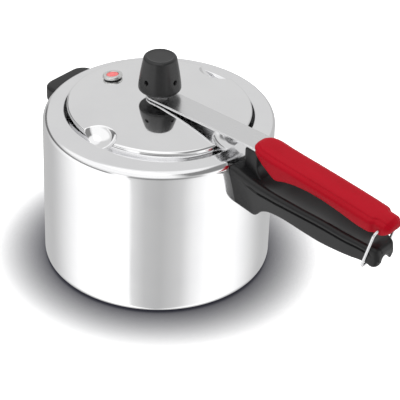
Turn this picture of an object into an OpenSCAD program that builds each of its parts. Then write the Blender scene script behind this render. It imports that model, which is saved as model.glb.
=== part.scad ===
// Stovetop pressure cooker with an inside-fitting oval lid, lever bar, red lid
// handle, black body handle, wire locking loop and a weighted steam regulator.
// Millimetres, +Z up. The origin is on the pot's axis, in the plane it stands on.
// +X points along the long handles.

/* [Pot] */
// Outer radius of the pot's wall
pot_r = 110; // [100:1:135]
// Height of the straight wall, up to where the shoulder curves in
wall_h = 147; // [130:1:180]
// Thickness of the wall
wall_t = 3; // [2:0.1:4]
// Thickness of the floor
floor_t = 4; // [2.5:0.1:6]
// Radius of the curve between floor and wall
foot_r = 8; // [5:0.5:12]
// Radius of the curve between wall and shoulder
shoulder_r = 8.5; // [7:0.1:10]
// Slope of the shoulder as it rises to the mouth, in degrees
shoulder_slope = 10; // [6:1:14]

/* [Mouth and lid] */
// Half width of the mouth, across the handles
mouth_r = 87; // [70:0.5:89]
// How much longer the mouth's half length is than its half width
oval = 4.5; // [3:0.1:6]
// Gap between the mouth's edge and the lid's wall
mouth_gap = 2.6; // [1.5:0.1:4]
// Height of the edge of the lid's top above the seat under the mouth
lid_rise = 11.9; // [9:0.1:15]
// How much higher the lid's domed middle is than its edge
dome = 7.6; // [5:0.1:7.8]
// Thickness of the lid's sheet
lid_t = 2.4; // [1.8:0.1:3]
// Width of the lid's flange outside its wall
flange_w = 6.6; // [5.5:0.1:7.5]
// Height of the sealing gasket
gasket_h = 3.9; // [3:0.1:5]
// Gap between the gasket and the seat it is drawn up to
seal_gap = 0.1; // [0.05:0.05:0.3]

/* [Lid scoops] */
// Directions of the spoon-shaped scoops in the lid's edge, in degrees
scoop_turns = [-90, 0, 90];
// Radius of the ball that shapes a scoop
scoop_r = 23; // [20:1:30]
// Height of that ball's centre above the lid's top
scoop_up = 12; // [10:0.5:16]
// Distance of that ball's centre outside the lid's wall
scoop_out = 4; // [2:0.5:6]

/* [Lid bar] */
// Width of the flat bar
bar_w = 26; // [20:1:32]
// Thickness of the bar
bar_t = 2.5; // [2:0.1:3.5]
// Thickness of the spacer between the lid's middle and the bar
spacer_t = 0.5; // [0.4:0.1:3]
// Downward slope of the bar's tail inside the lid handle, in degrees
bar_slope = 6.5; // [4:0.5:8]
// Length of that tail
tail_l = 70; // [50:1:80]
// Distance from the pot's wall to the line where the bar bends
bend_out = 8; // [6:1:10]

/* [Vent pipe] */
// Radius of the vent pipe where it passes through bar and lid
pipe_r = 5; // [4:0.1:6]
// Radius of the pipe's slim nozzle
nozzle_r = 3.2; // [2.6:0.1:3.6]
// Radius of the steam hole
steam_r = 1.1; // [0.8:0.1:1.4]
// Height of the nozzle's tip above the bar
nozzle_up = 25; // [22:1:30]
// Width across flats of the pipe's hexagonal collar
hex_w = 16; // [14:1:18]
// Height of that collar
hex_h = 4.6; // [4:0.1:5.5]

/* [Regulator] */
// Largest radius of the regulator's cap
cap_r = 20.3; // [18.5:0.1:24]
// Radius of the cap at its top, before the rounded edge
cap_top_r = 15.9; // [15.6:0.1:18]
// Height of the cap
cap_h = 34.5; // [31:0.5:40]
// Height of the cap's lower edge above the bar
cap_up = 6; // [5.5:0.1:8]
// Thickness of the cap's top
cap_t = 3.6; // [3:0.1:5]
// Radius of the metal weight inside the cap
weight_r = 13; // [11:0.1:13.4]
// Height of the weight's lower face above the cap's lower edge
weight_up = 5; // [4:0.5:7]
// Radius of a steam outlet
outlet_r = 2.3; // [1.5:0.1:2.8]
// Height of the steam outlets above the cap's lower edge
outlet_up = 13; // [12:0.5:14]

/* [Safety valve] */
// Distance of the safety valve from the lid's end
valve_in = 28.7; // [25:0.1:38]
// Direction of the safety valve, in degrees
valve_turn = 180; // [150:1:210]
// Width of the valve's collar around the red plug
collar_w = 3.8; // [3:0.1:5]
// Height of that collar
collar_h = 3.4; // [2.5:0.1:5]
// Radius of the red plug's head
plug_r = 5.7; // [4.8:0.1:7]
// Radius of the plug's stem
stem_r = 3.8; // [3:0.1:4.2]

/* [Lid handle] */
// Thickness of the lid handle's sides beside the bar
grip_wall = 3.6; // [3:0.1:6]
// Distance from the pot's wall to the handle's nose
nose_out = 11; // [9:0.5:13]
// Length of the lid handle
grip_l = 154.5; // [125:0.5:190]
// Half width of the handle's narrow end, where the loop turns
tip_half = 12.8; // [11:0.1:13.5]

/* [Body handle] */
// How far the body handle's end is short of the lid handle's end
handle_short = 7; // [5:0.5:12]
// Half width of the handle at its root
root_half = 24; // [22:0.5:28]
// Half width of the grip
stick_half = 19; // [17:0.5:22]
// Depth of the handle's root
root_depth = 47; // [40:1:52]
// Half width of the handle's end, where the loop hangs
end_half = 13; // [11:0.1:14]
// Width of the post that carries the lid bar
post_w = 26; // [20:1:30]

/* [Locking loop] */
// Radius of the loop's wire
wire_r = 1.3; // [1:0.1:1.6]
// Gap between the loop's sides and the lid handle
loop_gap = 0.5; // [0.4:0.1:1.5]
// Length of the loop, from its pivot to its cross wire
loop_l = 42.3; // [41:0.1:46]
// Inward lean of the loop when it is locked, in degrees
loop_lean = 15; // [12:1:18]
// Radius of the loop's bends
bend_r = 5; // [3:0.5:6]

/* [Helper handle] */
// Distance the helper handle stands out from the wall
helper_out = 19; // [17:0.5:26]
// Half width of the helper handle
helper_half = 29; // [25:0.5:36]
// Height of the helper handle
helper_h = 18; // [16:0.5:22]

/* [Fixings] */
// Radius of the handle screws' shanks
screw_r = 2.4; // [2:0.1:3]
// Radius of the screws' heads
head_r = 4.4; // [3.8:0.1:5.5]
// Radius of the rivets' shanks
rivet_r = 2.5; // [2:0.1:3]
// Thickness of the brackets
bracket_t = 2.5; // [2:0.1:3]
// Width of the brackets' tongues
tongue_w = 16; // [14:0.5:18]
// Distance of a bracket's rivets from its middle
rivet_half = 10.5; // [9:0.1:13]

/* [Fits] */
// Gap between parts that are fixed together
fixed_gap = 0.1; // [0.05:0.05:0.2]
// Radial gap of a turning or sliding fit
running_gap = 0.08; // [0.03:0.01:0.1]
// Gap between parts that pass each other
clear_gap = 0.4; // [0.3:0.1:0.6]

/* [Hidden] */
$fn = 96;
eps = 0.01;
metal = "silver";
steel = "gainsboro";
black = "#222222";
red = "#c01020";

// Pot: seat under the mouth, and the top of the shoulder
inner_r = pot_r - wall_t;
seat_z = wall_h + shoulder_r - wall_t;
shoulder_z = wall_h + shoulder_r * cos(shoulder_slope);
shoulder_edge_r = pot_r - shoulder_r + shoulder_r * sin(shoulder_slope);
rim_z = shoulder_z + (shoulder_edge_r - mouth_r) * tan(shoulder_slope);

// Lid: heights of its flange and top, and the radii of its wall and flange
lid_r = mouth_r - mouth_gap;
flange_r = lid_r + flange_w;
lid_z = seat_z + lid_rise;
crown_z = lid_z + dome;
dome_r = (lid_r * lid_r + dome * dome) / (2 * dome);
flange_top = seat_z - seal_gap - gasket_h;
flange_z = flange_top - lid_t;

// Bar: its faces, and the line where it bends
bar_z = crown_z + spacer_t;
bar_top = bar_z + bar_t;
bend_x = pot_r + bend_out;

// Post under the bar: where it stands, and its rounded top, on which the bar rocks
post_x = bend_x - 3;
post_l = 15;
post_top = bar_z - clear_gap;
post_nose = 3;

// Regulator: the heights of its parts
nozzle_z = bar_top + nozzle_up;
cap_z = bar_top + cap_up;
weight_z = cap_z + weight_up;
weight_top = cap_z + cap_h - cap_t;
bore_r = nozzle_r + 1.2;
clip_z = weight_z + 2;
clip_t = 1.2;

// Safety valve: where it stands square to the dome, and its steps above the lid
valve_out = lid_r + oval - valve_in;
valve_tilt = asin(valve_out / dome_r);
washer_t = 1;
valve_stem_r = plug_r + 1.7;
collar_r = plug_r + collar_w;
plug_z = -1.2;

// Long handles: where they start and end
nose_x = pot_r + nose_out;
grip_end = nose_x + grip_l;
grip_half = bar_w / 2 + grip_wall;
loop_half = grip_half + loop_gap + wire_r;
handle_end = grip_end - handle_short;
pivot_x = grip_end - 9.5;
pivot_z = bar_top - 23.5;
hook_x = pivot_x - loop_l * sin(loop_lean);
hook_z = pivot_z - loop_l * cos(loop_lean);

// Body handle's root, and the bracket inside it
root_top = seat_z + 1;
root_z = root_top - root_depth;
plate_z = root_z + 6;
plate_h = root_depth - 13;
tongue_z = plate_z + 14;
rivet_z = tongue_z + 11;
screw_x = pot_r + 19;
tongue_l = screw_x - pot_r + 11;

// Helper handle's middle height, and the bracket inside it
helper_z = seat_z - 16.5;
helper_plate_h = helper_h - 4;
helper_screw_x = pot_r + 10;
helper_tongue_l = helper_screw_x - pot_r + 5;
tongue_t = 3;

// Gap under the domed lid at the middle of a flat washer or nut, so that its edge is clear
under_gap = 0.2;
rivet_head_r = rivet_r * 1.5;
plate_rim = 0.75;
plate_half = rivet_half + rivet_head_r + plate_rim;
rivet_head_t = 1.5;

// The value between a and b, t of the way along
function mix(a, b, t) = a + (b - a) * t;

// Slope of a run of [x, value] knots at knot i
function knot_slope(k, i) =
    let (a = max(i - 1, 0), b = min(i + 1, len(k) - 1))
    (k[b][1] - k[a][1]) / (k[b][0] - k[a][0]);

// Smooth cubic step between two knots, t of the way along
function knot_step(k, i, t) =
    let (h = k[i + 1][0] - k[i][0])
    (2 * t * t * t - 3 * t * t + 1) * k[i][1] + (t * t * t - 2 * t * t + t) * h * knot_slope(k, i)
    + (3 * t * t - 2 * t * t * t) * k[i + 1][1] + (t * t * t - t * t) * h * knot_slope(k, i + 1);

// Value of a run of [x, value] knots at x
function along(k, x, i = 0) =
    x <= k[0][0] ? k[0][1]
    : i >= len(k) - 1 ? k[len(k) - 1][1]
    : x <= k[i + 1][0] ? knot_step(k, i, (x - k[i][0]) / (k[i + 1][0] - k[i][0]))
    : along(k, x, i + 1);

// Closed skin through rings of points; every ring has the same number of points
module skin(rings) {
    n = len(rings[0]);
    m = len(rings);
    sides = [for (i = [0 : m - 2], j = [0 : n - 1], k = [0, 1])
        k == 0 ? [i * n + j, i * n + (j + 1) % n, (i + 1) * n + j]
        : [i * n + (j + 1) % n, (i + 1) * n + (j + 1) % n, (i + 1) * n + j]];
    first_cap = [for (j = [1 : n - 2]) [0, j + 1, j]];
    last_cap = [for (j = [1 : n - 2]) [(m - 1) * n, (m - 1) * n + j, (m - 1) * n + j + 1]];
    polyhedron([for (r = rings) each r], concat(sides, first_cap, last_cap));
}

// Points along a run of knots from x0 to x1, closer together near both ends
function run_points(k, x0, x1, steps) =
    [for (i = [0 : steps]) let (x = mix(x0, x1, (1 - cos(180 * i / steps)) / 2)) [x, along(k, x)]];

// The same list, last point first
function reversed(p) = [for (i = [len(p) - 1 : -1 : 0]) p[i]];

// A handle along X, cut from its side outline and its plan outline
module handle_blank(top, bottom, wide, x0, x1, steps) {
    half = max([for (k = wide) k[1]]) + 1;
    sides = run_points(wide, x0, x1, steps);
    intersection() {
        rotate([90, 0, 0]) linear_extrude(2 * half, center = true)
            polygon(concat(run_points(bottom, x0, x1, steps), reversed(run_points(top, x0, x1, steps))));
        linear_extrude(bar_top + 20)
            polygon(concat([for (p = sides) [p[0], -p[1]]], reversed(sides)));
    }
}

// Outline of the mouth and lid: a circle stretched along X
module oval_outline(r) {
    for (s = [-1, 1]) translate([s * oval, 0]) circle(r);
    square([2 * oval, 2 * r], center = true);
}

// Half of the pot's outer profile
module pot_profile() {
    translate([0, foot_r]) square([pot_r, wall_h - foot_r]);
    square([pot_r - foot_r, wall_h]);
    translate([pot_r - foot_r, foot_r]) circle(foot_r);
    translate([pot_r - shoulder_r, wall_h]) circle(shoulder_r);
    polygon([[0, wall_h - shoulder_r], [pot_r - shoulder_r, wall_h - shoulder_r],
        [pot_r - shoulder_r, wall_h], [shoulder_edge_r, shoulder_z],
        [mouth_r, rim_z], [0, rim_z]]);
}

// Half of the pot's inner profile, below the seat
module hollow_profile() {
    inner_foot = foot_r - wall_t;
    inner_shoulder = shoulder_r - wall_t;
    translate([0, floor_t + inner_foot]) square([inner_r, wall_h - floor_t - inner_foot]);
    translate([0, floor_t]) square([inner_r - inner_foot, seat_z - floor_t]);
    translate([inner_r - inner_foot, floor_t + inner_foot]) circle(inner_foot);
    translate([inner_r - inner_shoulder, wall_h]) circle(inner_shoulder);
}

// Where a bracket's two rivets stand, as turns about the pot's axis
module at_rivets(z) {
    turn = asin(rivet_half / pot_r);
    for (s = [-1, 1]) rotate([0, 0, s * turn]) translate([0, 0, z]) rotate([0, 90, 0]) children();
}

module pot_body() {
    color(metal) difference() {
        rotate_extrude() pot_profile();
        rotate_extrude() intersection() {
            hollow_profile();
            square([pot_r, pot_r + wall_h]);
        }
        translate([0, 0, seat_z - 1]) linear_extrude(30) oval_outline(mouth_r);
        at_rivets(rivet_z) cylinder(r = rivet_r + eps, h = pot_r + 5);
        rotate([0, 0, 180]) at_rivets(helper_z) cylinder(r = rivet_r + eps, h = pot_r + 5);
    }
}

// Post that carries the bar: a column with a round top and a hollow sweep into the grip
module post() {
    z0 = seat_z - 22;
    sweep = 19;
    foot = 9;
    rotate([90, 0, 0]) linear_extrude(post_w, center = true) {
        translate([post_x + post_nose, post_top - post_nose]) circle(post_nose);
        translate([post_x + post_nose, z0]) square([post_l - post_nose, post_top - z0 - 1.5]);
        translate([post_x, z0]) square([post_l, post_top - post_nose - z0]);
        difference() {
            translate([post_x + post_nose, z0]) square([post_l - post_nose + sweep, sweep + foot]);
            translate([post_x + post_l + sweep, z0 + sweep + foot]) circle(sweep);
        }
    }
}

// Bracket on the pot's wall: a curved plate from z0, and a level tongue at z that a
// screw goes up through
module bracket(z0, h, z, reach, screw_at, rivets) {
    difference() {
        union() {
            intersection() {
                translate([0, 0, z0]) difference() {
                    cylinder(r = pot_r + bracket_t, h = h);
                    translate([0, 0, -1]) cylinder(r = pot_r + eps, h = h + 2);
                }
                translate([0, -plate_half, 0]) cube([pot_r * 2, plate_half * 2, pot_r * 3]);
            }
            translate([pot_r + bracket_t / 2, -tongue_w / 2, z])
                cube([reach - bracket_t / 2, tongue_w, tongue_t]);
        }
        translate([screw_at, 0, z - 1]) cylinder(r = screw_r + eps, h = tongue_t + 2);
        at_rivets(rivets) cylinder(r = rivet_r + eps, h = pot_r + 10);
        at_rivets(rivets) translate([0, 0, pot_r + bracket_t])
            cylinder(r = rivet_head_r + fixed_gap, h = rivet_head_t + 2 * fixed_gap);
    }
}

// Hole in a handle's root that the bracket fits into
module bracket_pocket(z0, h, z, reach) {
    gap = fixed_gap * 3;
    intersection() {
        translate([0, 0, z0 - gap]) cylinder(r = pot_r + bracket_t + 2.4, h = h + 2 * gap);
        translate([0, -plate_half - gap, 0]) cube([pot_r * 2, (plate_half + gap) * 2, pot_r * 3]);
    }
    translate([pot_r, -tongue_w / 2 - gap, z - gap])
        cube([reach + gap, tongue_w + 2 * gap, tongue_t + 2 * gap]);
}

// Two rivets of a bracket, headed inside the pot and outside the bracket
module bracket_rivets(z) {
    at_rivets(z) {
        translate([0, 0, inner_r - 1.6]) cylinder(r = rivet_r * 2, h = 1.45);
        translate([0, 0, inner_r - 1]) cylinder(r = rivet_r, h = wall_t + bracket_t + 2.6);
        translate([0, 0, pot_r + bracket_t + 0.1]) cylinder(r = rivet_head_r, h = rivet_head_t);
    }
}

// Screw pointing up: head at z0, tip at z1
module screw_up(x, z0, z1) {
    translate([x, 0, z0]) cylinder(r = head_r, h = 2.6);
    translate([x, 0, z0]) cylinder(r = screw_r, h = z1 - z0);
}

// Hole for a screw pointing up, open below
module screw_hole(x, z0, z1) {
    translate([x, 0, z0 - 20]) cylinder(r = head_r + fixed_gap * 3, h = 20 + 2.6);
    translate([x, 0, z0]) cylinder(r = screw_r + fixed_gap, h = z1 - z0);
}

// Body handle: the runs of its top, bottom and half width
handle_top = [[pot_r - 4, root_top], [bend_x, root_top - 1.5], [bend_x + 14, seat_z - 6],
    [pot_r + 40, seat_z - 11], [pot_r + 73, seat_z - 14], [pot_r + 98, seat_z - 16],
    [hook_x - 20, seat_z - 19], [hook_x + 3, seat_z - 20.5], [handle_end - 5, seat_z - 21.5],
    [handle_end, seat_z - 25]];
handle_bottom = [[pot_r - 4, root_z + 2], [pot_r + 15, root_z - 0.5], [pot_r + 21, root_z - 0.5],
    [pot_r + 27, root_z + 5.5], [pot_r + 38, root_z + 10.5], [pot_r + 50, root_z + 11.5],
    [pot_r + 62, root_z + 10.5], [pot_r + 81, root_z + 8], [pot_r + 101, hook_z + 2],
    [hook_x - 14, hook_z + 2.3], [hook_x - 4, hook_z + 3.2], [hook_x + 3.5, hook_z + 3.4],
    [pivot_x - 4.2, hook_z + 0.7], [pivot_x - 1, hook_z + 0.7], [handle_end, hook_z + 3.6]];
handle_wide = [[pot_r - 4, root_half], [bend_x, root_half], [pot_r + 24, root_half - 2],
    [pot_r + 40, stick_half + 1], [pot_r + 80, stick_half], [pot_r + 120, stick_half - 1],
    [hook_x - 6, loop_half - 2.2], [hook_x + 3, loop_half - 2.4], [pivot_x - 3, end_half + 0.6],
    [handle_end, end_half - 2]];

module body_handle() {
    color(black) difference() {
        union() {
            handle_blank(handle_top, handle_bottom, handle_wide, pot_r - 4, handle_end, 30);
            post();
        }
        translate([0, 0, -1]) cylinder(r = pot_r + fixed_gap, h = pot_r * 2);
        bracket_pocket(plate_z, plate_h, tongue_z, tongue_l);
        screw_hole(screw_x, root_z + 5, tongue_z + 7);
        translate([handle_end - 7, 0, hook_z]) rotate([0, 90, 0]) cylinder(r = 6, h = 20);
    }
}

module body_handle_bracket() {
    color(steel) bracket(plate_z, plate_h, tongue_z, tongue_l, screw_x, rivet_z);
}

module body_handle_rivets() {
    color(steel) bracket_rivets(rivet_z);
}

module body_handle_screw() {
    color(steel) screw_up(screw_x, root_z + 5, tongue_z + 6);
}

module helper_handle() {
    x1 = pot_r + helper_out;
    corner = 12;
    color(black) rotate([0, 0, 180]) difference() {
        skin([for (i = [0 : 12])
            let (v = i / 12,
                lean = sin(180 * v),
                inset = 3 * (1 - pow(lean, 0.45)))
            helper_ring(x1 - inset, helper_half - inset, corner, helper_z + helper_h * (v - 0.5))]);
        translate([0, 0, -1]) cylinder(r = pot_r + fixed_gap, h = pot_r * 2);
        bracket_pocket(helper_z - helper_plate_h / 2, helper_plate_h, helper_z - tongue_t / 2,
            helper_tongue_l);
        screw_hole(helper_screw_x, helper_z - 7.5, helper_z + 4.5);
    }
}

// One level ring of the helper handle: a block with rounded outer corners
function helper_ring(x1, half, corner, z) =
    concat([[pot_r - 5, -half, z]],
        [for (i = [0 : 6]) [x1 - corner + corner * sin(15 * i), -half + corner - corner * cos(15 * i), z]],
        [for (i = [0 : 6]) [x1 - corner + corner * cos(15 * i), half - corner + corner * sin(15 * i), z]],
        [[pot_r - 5, half, z]]);

module helper_bracket() {
    color(steel) rotate([0, 0, 180]) bracket(helper_z - helper_plate_h / 2, helper_plate_h,
        helper_z - tongue_t / 2, helper_tongue_l, helper_screw_x, helper_z);
}

module helper_rivets() {
    color(steel) rotate([0, 0, 180]) bracket_rivets(helper_z);
}

module helper_screw() {
    color(steel) rotate([0, 0, 180]) screw_up(helper_screw_x, helper_z - 7.5, helper_z + 3.5);
}

// Balls that shape the scoops, grown by extra
module scoop_balls(extra) {
    for (turn = scoop_turns) rotate([0, 0, turn]) {
        reach = lid_r + scoop_out + oval * abs(cos(turn));
        translate([reach, 0, lid_z + scoop_up]) sphere(scoop_r + extra);
    }
}

// Lid's solid form, smaller all round by inset: an oval block under a shallow dome
module lid_form(inset) {
    intersection() {
        translate([0, 0, flange_z - inset]) linear_extrude(crown_z - flange_z + 1)
            oval_outline(lid_r - inset);
        translate([0, 0, crown_z - dome_r]) sphere(dome_r - inset, $fn = 360);
    }
}

module lid() {
    color(metal) difference() {
        union() {
            difference() {
                lid_form(0);
                lid_form(lid_t);
            }
            intersection() {
                lid_form(0);
                scoop_balls(lid_t);
            }
            translate([0, 0, flange_z]) linear_extrude(lid_t) difference() {
                oval_outline(flange_r);
                oval_outline(lid_r - lid_t);
            }
        }
        scoop_balls(0);
        translate([0, 0, flange_z - 1]) cylinder(r = pipe_r + eps, h = 40);
        at_valve() translate([0, 0, -2 * lid_t]) cylinder(r = valve_stem_r + eps, h = 3 * lid_t);
    }
}

module sealing_gasket() {
    color(black) translate([0, 0, flange_top]) linear_extrude(gasket_h) difference() {
        oval_outline(flange_r - 0.6);
        oval_outline(lid_r + fixed_gap);
    }
}

// Where the bar's tail and the lid handle's screws lie
module on_tail() {
    translate([bend_x, 0, bar_z]) rotate([0, bar_slope, 0]) children();
}

// Side outline of the bar's bend and tail
module tail_outline() {
    run = [tail_l * cos(bar_slope), -tail_l * sin(bar_slope)];
    across = [bar_t * sin(bar_slope), bar_t * cos(bar_slope)];
    lap = 5;
    polygon([[bend_x - lap, bar_z], [bend_x, bar_z], [bend_x, bar_z] + run,
        [bend_x, bar_z] + run + across, [bend_x + bar_t * tan(bar_slope / 2), bar_top],
        [bend_x - lap, bar_top]]);
}

module lid_bar() {
    color(steel) difference() {
        union() {
            translate([0, 0, bar_z]) linear_extrude(bar_t) {
                circle(bar_w / 2);
                translate([0, -bar_w / 2]) square([bend_x, bar_w]);
            }
            rotate([90, 0, 0]) linear_extrude(bar_w, center = true) tail_outline();
        }
        translate([0, 0, bar_z - 1]) cylinder(r = pipe_r + eps, h = bar_t + 2);
        for (x = tail_screws) on_tail() translate([x, 0, -1])
            cylinder(r = screw_r + fixed_gap, h = bar_t + 2);
    }
}

module bar_spacer() {
    color(steel) translate([0, 0, crown_z]) difference() {
        cylinder(r = 9, h = spacer_t);
        translate([0, 0, -1]) cylinder(r = pipe_r + eps, h = spacer_t + 2);
    }
}

module vent_pipe() {
    color(steel) difference() {
        union() {
            translate([0, 0, crown_z - 12]) cylinder(r = pipe_r, h = bar_top - crown_z + 13);
            translate([0, 0, bar_top]) cylinder(r = hex_w / 2 / cos(30), h = hex_h, $fn = 6);
            translate([0, 0, bar_top]) cylinder(r = nozzle_r, h = nozzle_up - 1.5);
            translate([0, 0, nozzle_z - 1.5]) cylinder(r1 = nozzle_r, r2 = nozzle_r - 1, h = 1.5);
        }
        translate([0, 0, crown_z - 20]) cylinder(r = steam_r, h = nozzle_up + 40);
    }
}

module vent_washer() {
    color(black) translate([0, 0, crown_z - lid_t - 1 - under_gap]) difference() {
        cylinder(r = 8.4, h = 1);
        translate([0, 0, -1]) cylinder(r = pipe_r + eps, h = 3);
    }
}

module vent_nut() {
    color(steel) translate([0, 0, crown_z - lid_t - 6 - under_gap]) difference() {
        cylinder(r = 8 / cos(30), h = 5, $fn = 6);
        translate([0, 0, -1]) cylinder(r = pipe_r + eps, h = 7);
    }
}

// Lid handle: the runs of its top, bottom and half width
tail_screws = [tail_l * 0.46, tail_l * 0.83];
grip_top = [[nose_x, bar_top + 0.6], [nose_x + 5, bar_top + 2.3], [nose_x + 29, bar_top - 1],
    [nose_x + 69, bar_top - 5.5], [nose_x + 109, bar_top - 10.4], [pivot_x - 8, bar_top - 14.4],
    [pivot_x + 4, bar_top - 16.4], [grip_end - 2.5, bar_top - 18.4], [grip_end, bar_top - 21.5]];
grip_bottom = [[nose_x, bar_z - 2.3], [nose_x + 6, bar_z - 3.2], [nose_x + 12.5, bar_z - 6.2],
    [nose_x + 25, bar_z - 15], [nose_x + 32, bar_z - 18.8], [nose_x + 41, bar_z - 16.5],
    [nose_x + 54, bar_z - 14.6], [nose_x + 68, bar_z - 14.2], [nose_x + 86, bar_z - 15.8],
    [nose_x + 105, bar_z - 19.5], [nose_x + 124, bar_z - 23.8], [pivot_x - 8, bar_z - 25.2],
    [pivot_x, pivot_z - 5], [grip_end - 3, pivot_z - 3.5], [grip_end, pivot_z - 1]];
grip_wide = [[nose_x, grip_half - 7], [nose_x + 3, grip_half - 2.4], [nose_x + 9, grip_half],
    [pivot_x - 13, grip_half - 0.2], [pivot_x - 8.5, grip_half - 0.8], [pivot_x - 4.5, tip_half],
    [pivot_x + 4, tip_half], [grip_end - 2.5, tip_half - 3.5], [grip_end, tip_half - 7]];

module lid_handle() {
    color(red) difference() {
        handle_blank(grip_top, grip_bottom, grip_wide, nose_x, grip_end, 30);
        on_tail() translate([-20, -bar_w / 2 - fixed_gap, -fixed_gap])
            cube([tail_l + 20 + 1, bar_w + 2 * fixed_gap, bar_t + 2 * fixed_gap]);
        for (x = tail_screws) on_tail() translate([x, 0, 0]) {
            translate([0, 0, -40]) cylinder(r = head_r + 0.3, h = 34);
            translate([0, 0, -8]) cylinder(r = screw_r + fixed_gap, h = bar_t + 9);
        }
        for (s = [-1, 1]) translate([pivot_x, s * (tip_half - 8), pivot_z]) rotate([-90 * s, 0, 0])
            cylinder(r = wire_r + running_gap, h = 20);
        translate([nose_x - 1, -post_w / 2 - clear_gap, pivot_z])
            cube([post_x + post_l + clear_gap - nose_x + 1, post_w + 2 * clear_gap, bar_z - pivot_z]);
    }
}

module lid_handle_screws() {
    color(steel) for (x = tail_screws) on_tail() translate([x, 0, 0]) {
        translate([0, 0, -8.5]) cylinder(r = head_r, h = 2.5);
        translate([0, 0, -8]) cylinder(r = screw_r, h = bar_t + 8.5);
    }
}

// Half of the locking loop, about its pivot, hanging along -Z
module loop_side() {
    arm = loop_half - bend_r;
    translate([0, tip_half - 7, 0]) rotate([-90, 0, 0]) cylinder(r = wire_r, h = arm - tip_half + 7);
    translate([0, arm, -bend_r]) rotate([90, 0, 90])
        rotate_extrude(angle = 90) translate([bend_r, 0]) circle(wire_r);
    translate([0, loop_half, bend_r - loop_l]) cylinder(r = wire_r, h = loop_l - 2 * bend_r);
    translate([0, arm, bend_r - loop_l]) rotate([90, 0, 90]) rotate([0, 0, -90])
        rotate_extrude(angle = 90) translate([bend_r, 0]) circle(wire_r);
    translate([0, 0, -loop_l]) rotate([-90, 0, 0]) cylinder(r = wire_r, h = arm);
}

module locking_loop() {
    color(steel) translate([pivot_x, 0, pivot_z]) rotate([0, loop_lean, 0]) {
        loop_side();
        mirror([0, 1, 0]) loop_side();
    }
}

// Where the safety valve stands on the dome, with the lid's surface at height 0
module at_valve() {
    translate([0, 0, crown_z - dome_r]) rotate([0, 0, valve_turn]) rotate([0, valve_tilt, 0])
        translate([0, 0, dome_r]) children();
}

module safety_valve_collar() {
    color(steel) at_valve() difference() {
        union() {
            translate([0, 0, washer_t]) cylinder(r = collar_r, h = collar_h - 1);
            translate([0, 0, washer_t + collar_h - 1]) cylinder(r1 = collar_r, r2 = collar_r - 1, h = 1);
            translate([0, 0, -12]) cylinder(r = valve_stem_r, h = 13.5);
        }
        translate([0, 0, plug_z]) cylinder(r = plug_r + running_gap, h = 20);
        translate([0, 0, -20]) cylinder(r = stem_r + running_gap, h = 30);
    }
}

module safety_valve_washer() {
    color(black) at_valve() difference() {
        cylinder(r = collar_r - 0.9, h = washer_t);
        translate([0, 0, -1]) cylinder(r = valve_stem_r + eps, h = 3);
    }
}

module safety_valve_nut() {
    color(steel) at_valve() translate([0, 0, -lid_t - 5 - under_gap]) difference() {
        cylinder(r = (valve_stem_r + 2.6) / cos(30), h = 5, $fn = 6);
        translate([0, 0, -1]) cylinder(r = valve_stem_r + eps, h = 7);
    }
}

module safety_valve_plug() {
    color(red) at_valve() {
        translate([0, 0, plug_z]) cylinder(r = plug_r, h = washer_t + collar_h - plug_z - 0.6);
        translate([0, 0, -12.5]) cylinder(r = stem_r, h = 12);
    }
}

module regulator_clip() {
    color(steel) translate([0, 0, clip_z]) difference() {
        cylinder(r = bore_r + 1.6, h = clip_t);
        translate([0, 0, -1]) cylinder(r = nozzle_r + running_gap, h = clip_t + 2);
    }
}

// Outlets around the regulator, at its four quarters
module outlets(r, depth) {
    for (turn = [0 : 90 : 270]) rotate([0, 0, turn]) translate([0, 0, cap_z + outlet_up])
        rotate([0, 90, 0]) cylinder(r = r, h = depth);
}

module regulator_weight() {
    color(metal) difference() {
        translate([0, 0, weight_z]) cylinder(r = weight_r, h = weight_top - weight_z);
        translate([0, 0, weight_z - 1]) cylinder(r = bore_r, h = nozzle_z - weight_z + 1);
        translate([0, 0, clip_z - 0.3]) cylinder(r = bore_r + 2, h = clip_t + 0.6);
        outlets(outlet_r - 0.6, weight_r + 2);
    }
}

// Radius of the cap's bell, t of the way up
function bell(t) = cap_r - (cap_r - cap_top_r) * pow(t, 1.35);

module regulator_cap() {
    edge = 3;
    steps = 12;
    color(black) difference() {
        translate([0, 0, cap_z]) rotate_extrude() {
            polygon(concat([[0, 0], [cap_r - 2.5, 0], [cap_r, 2]],
                [for (i = [1 : steps]) [bell(i / steps), mix(2, cap_h - edge, i / steps)]],
                [[0, cap_h - edge]]));
            translate([0, cap_h - edge - 1]) square([cap_top_r - edge, edge + 1]);
            intersection() {
                translate([cap_top_r - edge, cap_h - edge]) circle(edge);
                square([cap_top_r, cap_h]);
            }
        }
        translate([0, 0, cap_z - 1]) cylinder(r = weight_r + fixed_gap, h = cap_h - cap_t + 1 + fixed_gap);
        translate([0, 0, cap_z - 1]) cylinder(r = weight_r + 2.4, h = weight_up);
        outlets(outlet_r, cap_r + 5);
    }
}

pot_body();
body_handle();
body_handle_bracket();
body_handle_rivets();
body_handle_screw();
helper_handle();
helper_bracket();
helper_rivets();
helper_screw();
lid();
sealing_gasket();
lid_bar();
bar_spacer();
vent_pipe();
vent_washer();
vent_nut();
lid_handle();
lid_handle_screws();
locking_loop();
safety_valve_collar();
safety_valve_washer();
safety_valve_nut();
safety_valve_plug();
regulator_clip();
regulator_weight();
regulator_cap();
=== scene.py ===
"""Looks of a stovetop pressure cooker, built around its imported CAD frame.

The cooker stands on the origin, its long handles point along +X and +Z is up. Sizes are in
millimetres in the dataclasses below and become metres when a mesh is made. Each sub-assembly is
a class that works its surfaces out on numpy grids, and each finish is a small class that makes a
procedural material on Object coordinates.
"""

import logging
import math
from dataclasses import dataclass, field
from enum import Enum
from typing import Any

import bmesh
import bpy
import numpy as np
from mathutils import Matrix, Vector


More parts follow.
